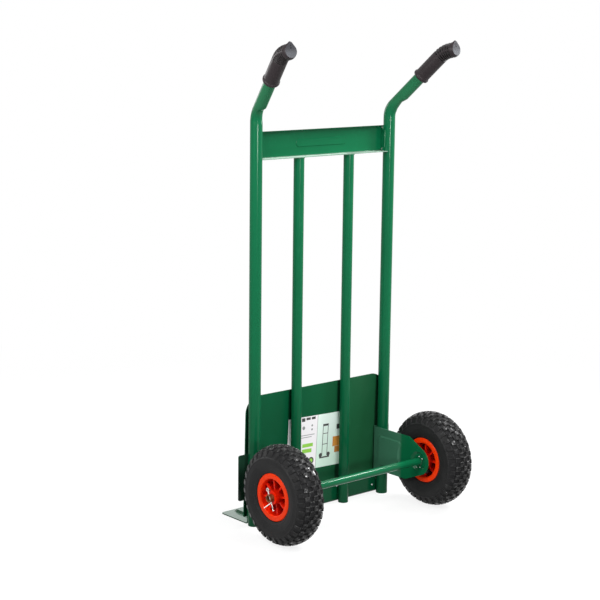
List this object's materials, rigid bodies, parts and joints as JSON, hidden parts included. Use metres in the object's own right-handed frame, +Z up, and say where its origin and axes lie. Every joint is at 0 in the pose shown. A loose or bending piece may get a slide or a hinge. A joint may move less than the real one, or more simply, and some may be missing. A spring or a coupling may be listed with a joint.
{
  "type": "hand truck",
  "caption": "Upright hand truck of green painted steel tube with a fixed toe, a folding load plate, splayed handles with moulded grips and air tyres on red rims.",
  "frame": {"origin": "on the floor, under the middle of the truck's bounding box, with the toe, the tube ends and the tyres at Z 0", "axes": "+X towards the user's left, across the truck along the axle; +Y back towards the user and the wheels, with the load at -Y; +Z up along the uprights"},
  "size_m": [0.6518, 0.4205, 1.2659],
  "materials": {
    "green_paint": "semi-gloss powder coat",
    "zinc_steel": "zinc plated",
    "roller_steel": "ground",
    "grip_rubber": "matte moulded",
    "red_plastic": "satin moulded",
    "tyre_rubber": "matte",
    "tube_rubber": "matte",
    "black_plastic": "moulded"
  },
  "bodies": {
    "frame": {"left_upright": "green_paint", "right_upright": "green_paint", "left_inner_bar": "green_paint", "right_inner_bar": "green_paint", "top_panel": "green_paint", "left_axle_bracket": "green_paint", "right_axle_bracket": "green_paint", "axle": "green_paint", "toe_plate": "green_paint", "hinge_eyes": "green_paint", "hinge_rod": "zinc_steel", "hinge_clip": "zinc_steel", "left_spacer_washer": "zinc_steel", "right_spacer_washer": "zinc_steel", "left_split_pin": "zinc_steel", "right_split_pin": "zinc_steel", "left_grip": "grip_rubber", "right_grip": "grip_rubber"},
    "folding_plate": {"folding_plate": "green_paint", "plate_knuckles": "green_paint"},
    "left_wheel": {"left_rim": "red_plastic", "left_tyre": "tyre_rubber", "left_inner_tube": "tube_rubber", "left_valve_stem": "tube_rubber", "left_valve_cap": "black_plastic", "left_bearing_cage": "black_plastic", "left_bearing_rollers": "roller_steel", "left_hub_ring": "black_plastic"},
    "right_wheel": {"right_rim": "red_plastic", "right_tyre": "tyre_rubber", "right_inner_tube": "tube_rubber", "right_valve_stem": "tube_rubber", "right_valve_cap": "black_plastic", "right_bearing_cage": "black_plastic", "right_bearing_rollers": "roller_steel", "right_hub_ring": "black_plastic"}
  },
  "joints": [
    {"name": "plate_fold", "type": "hinge", "parent": "frame", "child": "folding_plate", "pos_m": [0, -0.10665, 0.012], "axis": [1, 0, 0], "range_deg": [0, 91.46]},
    {"name": "left_wheel_spin", "type": "hinge", "parent": "frame", "child": "left_wheel", "pos_m": [0.2667, 0.08025, 0.13], "axis": [1, 0, 0], "continuous": true},
    {"name": "right_wheel_spin", "type": "hinge", "parent": "frame", "child": "right_wheel", "pos_m": [-0.2667, 0.08025, 0.13], "axis": [1, 0, 0], "continuous": true}
  ]
}
